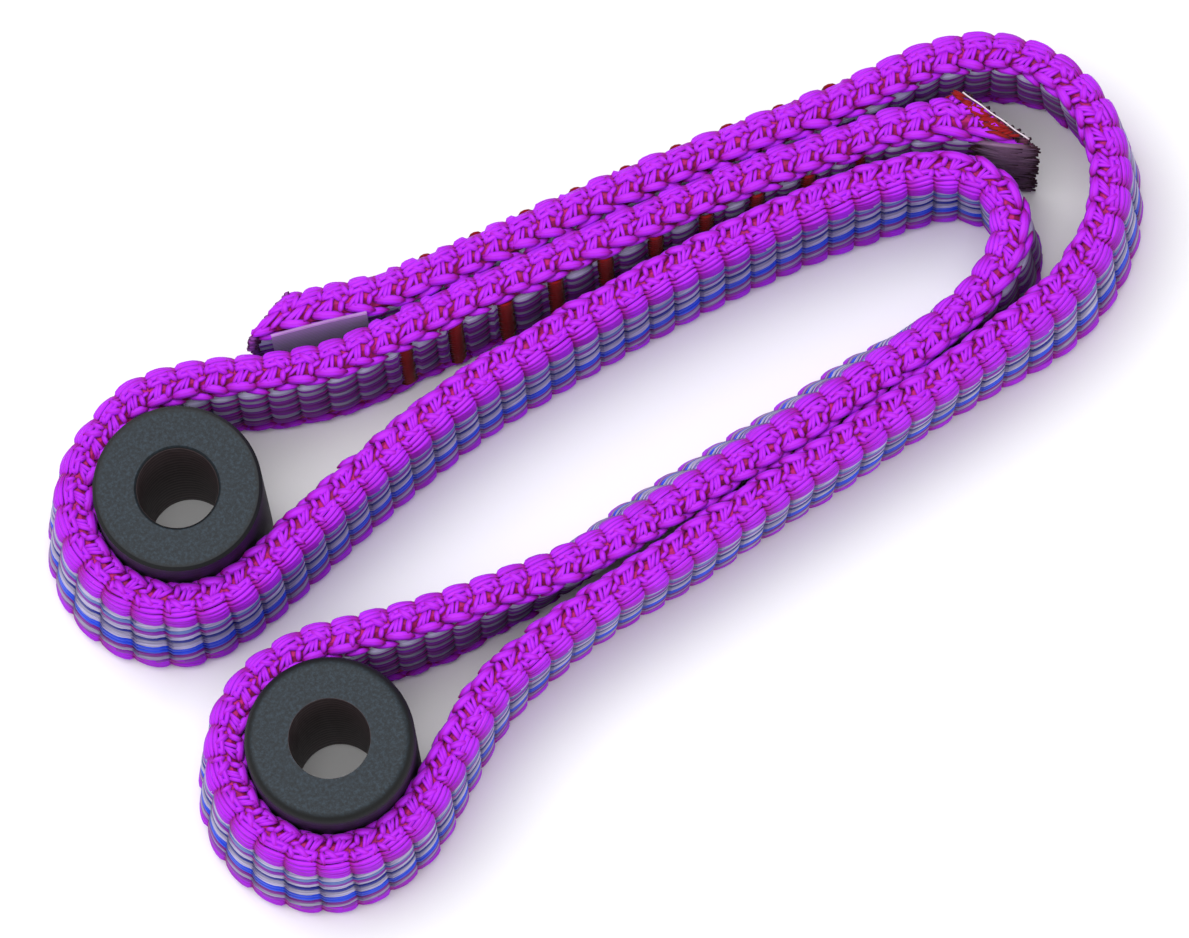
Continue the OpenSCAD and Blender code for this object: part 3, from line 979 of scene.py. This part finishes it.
class SLING_OT_label(bpy.types.Operator):
    """Blank tape at the outer cut end"""
    bl_idname = "sling.label"
    bl_label = "Label tape"

    def execute(self, context):
        tape = context.scene.sling_trim.tape
        material, tree, shader = new_material("satin_polyester_tape")
        place = add_node(tree, "ShaderNodeTexCoord").outputs["Object"]
        # Satin tape: smooth, with bands of thread about 0.8 mm apart, as single threads are
        # too fine to show
        weave = add_node(tree, "ShaderNodeTexWave", {"bands_direction": "Z"},
                         {"Vector": place, "Scale": 400.0, "Distortion": 1.0, "Detail": 1.0})
        bands = add_node(tree, "ShaderNodeValToRGB", inputs={"Fac": weave.outputs["Fac"]},
                         stops=[(0.2, scaled(tape, 0.6)), (0.7, tape)])
        tree.links.new(bands.outputs["Color"], shader.inputs["Base Color"])
        shader.inputs["Roughness"].default_value = 0.45
        shader.inputs["Sheen Weight"].default_value = 0.3
        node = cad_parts["label_tape"]
        node.data.materials.clear()
        node.data.materials.append(material)
        return {"FINISHED"}


# A bushing's flat end: its depth, and the radii between which it ends at the bore and the rim
FACE_DEPTH = 0.0003
BORE_EDGE = (0.00601, 0.00605)
RIM_EDGE = (0.0121, 0.0114)


def turned_nylon(name, centre, face, side):
    """Turned black nylon: flat ends painted a lighter stone grey as painted light, rims and outer
    wall painted darker as painted shade, and a brown-grey bore with faint turning rings."""
    material, tree, shader = new_material(name)
    place = add_node(tree, "ShaderNodeTexCoord").outputs["Object"]
    centred = add_node(tree, "ShaderNodeMapping", inputs={
        "Vector": place, "Location": (-centre[0], -centre[1], 0)})
    split = add_node(tree, "ShaderNodeSeparateXYZ", inputs={0: centred.outputs[0]})
    flat = add_node(tree, "ShaderNodeCombineXYZ", inputs={
        "X": split.outputs["X"], "Y": split.outputs["Y"]})
    radius = add_node(tree, "ShaderNodeVectorMath", {"operation": "LENGTH"}, {0: flat.outputs[0]})
    # Share of the flat ends' lighter colour, which is painted light: full at either end, and none
    # on the rim and in the bore
    end = add_node(tree, "ShaderNodeMath", {"operation": "ABSOLUTE"}, {
        0: add_node(tree, "ShaderNodeMath", {"operation": "SUBTRACT"},
                    {0: split.outputs["Z"], 1: BUSHING_L / 2}).outputs[0]})
    on_end = add_node(tree, "ShaderNodeMapRange", inputs={
        "Value": end.outputs[0], "From Min": BUSHING_L / 2 - FACE_DEPTH,
        "From Max": BUSHING_L / 2})
    inside = add_node(tree, "ShaderNodeMapRange", inputs={
        "Value": radius.outputs["Value"], "From Min": RIM_EDGE[0], "From Max": RIM_EDGE[1]})
    past_bore = add_node(tree, "ShaderNodeMapRange", inputs={
        "Value": radius.outputs["Value"], "From Min": BORE_EDGE[0], "From Max": BORE_EDGE[1]})
    painted_light_share = add_node(tree, "ShaderNodeMath", {"operation": "MULTIPLY"}, {
        0: add_node(tree, "ShaderNodeMath", {"operation": "MULTIPLY"},
                    {0: on_end.outputs[0], 1: inside.outputs[0]}).outputs[0],
        1: past_bore.outputs[0]})
    # Chalky speckle about 0.5 mm across, coarser than the real one so that it shows
    speckle = add_node(tree, "ShaderNodeTexNoise", inputs={
        "Vector": place, "Scale": 1900.0, "Detail": 3.0, "Roughness": 0.75})
    mottled = add_node(
        tree, "ShaderNodeValToRGB", inputs={"Fac": speckle.outputs["Fac"]},
        stops=[(0.34, scaled(face, 0.5)), (0.5, face), (0.66, scaled(face, 2.1))])
    # Turning rings in the bore, about 1.5 mm apart
    rings = add_node(tree, "ShaderNodeTexWave", {"bands_direction": "Z"},
                     {"Vector": place, "Scale": 210.0, "Distortion": 2.5, "Detail": 2.0,
                      "Detail Scale": 2.0})
    bore = add_node(tree, "ShaderNodeValToRGB", inputs={"Fac": rings.outputs["Fac"]},
                    stops=[(0.2, linear("#33282A")), (0.8, linear("#524346"))])
    # The rims and outer wall take the darker colour, which is painted shade
    wall = add_node(tree, "ShaderNodeMix", {"data_type": "RGBA"}, {
        "Factor": past_bore.outputs[0], "A": bore.outputs["Color"], "B": side})
    colour = add_node(tree, "ShaderNodeMix", {"data_type": "RGBA"}, {
        "Factor": painted_light_share.outputs[0], "A": wall.outputs["Result"],
        "B": mottled.outputs["Color"]})
    height = add_node(tree, "ShaderNodeMath", {"operation": "MULTIPLY_ADD"}, {
        0: rings.outputs["Fac"], 1: 0.5, 2: speckle.outputs["Fac"]})
    bump = add_node(tree, "ShaderNodeBump", inputs={
        "Height": height.outputs[0], "Strength": 0.25, "Distance": 0.0001})
    tree.links.new(colour.outputs["Result"], shader.inputs["Base Color"])
    tree.links.new(bump.outputs["Normal"], shader.inputs["Normal"])
    shader.inputs["Roughness"].default_value = 0.62
    shader.inputs["IOR"].default_value = 1.53
    shader.inputs["Specular IOR Level"].default_value = 0.3
    return material


class SLING_OT_bushings(bpy.types.Operator):
    """Finish of the two bushings"""
    bl_idname = "sling.bushings"
    bl_label = "Bushings"

    def execute(self, context):
        trim = context.scene.sling_trim
        for name, centre in (("bushing_a", CENTRE_A), ("bushing_b", CENTRE_B)):
            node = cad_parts[name]
            node.data.materials.clear()
            node.data.materials.append(
                turned_nylon(f"turned_nylon_{name[-1]}", centre, trim.bushing_lit_face,
                             trim.bushing_shaded_side))
        return {"FINISHED"}


OPERATORS = (
    SLING_OT_stage, SLING_OT_core, SLING_OT_face_yarns, SLING_OT_shoulder_yarns,
    SLING_OT_edge_plait, SLING_OT_bar_tacks, SLING_OT_overcast, SLING_OT_cut_ends,
    SLING_OT_label, SLING_OT_bushings,
)


class VIEW3D_PT_sling(bpy.types.Panel):
    """Lists the sling's operators and settings"""
    bl_idname = "VIEW3D_PT_sling"
    bl_label = "Webbing Sling"
    bl_space_type = "VIEW_3D"
    bl_region_type = "UI"
    bl_category = "Sling"

    def draw(self, context):
        for group in ("sling_webbing", "sling_trim", "sling_stage"):
            settings = getattr(context.scene, group)
            for key in settings.bl_rna.properties.keys():
                if key not in ("rna_type", "name"):
                    self.layout.prop(settings, key)
        for operator in OPERATORS:
            self.layout.operator(operator.bl_idname)


GROUPS = {"sling_webbing": SlingWebbing, "sling_trim": SlingTrim, "sling_stage": SlingStage}


def register():
    for group in GROUPS.values():
        bpy.utils.register_class(group)
    for operator in OPERATORS:
        bpy.utils.register_class(operator)
    bpy.utils.register_class(VIEW3D_PT_sling)
    for key, group in GROUPS.items():
        setattr(bpy.types.Scene, key, bpy.props.PointerProperty(type=group))


def unregister():
    for key in GROUPS:
        delattr(bpy.types.Scene, key)
    bpy.utils.unregister_class(VIEW3D_PT_sling)
    for operator in reversed(OPERATORS):
        bpy.utils.unregister_class(operator)
    for group in reversed(list(GROUPS.values())):
        bpy.utils.unregister_class(group)


def main():
    register()
    for operator in OPERATORS:
        group, name = operator.bl_idname.split(".")
        getattr(getattr(bpy.ops, group), name)()


if __name__ == "__main__":
    main()
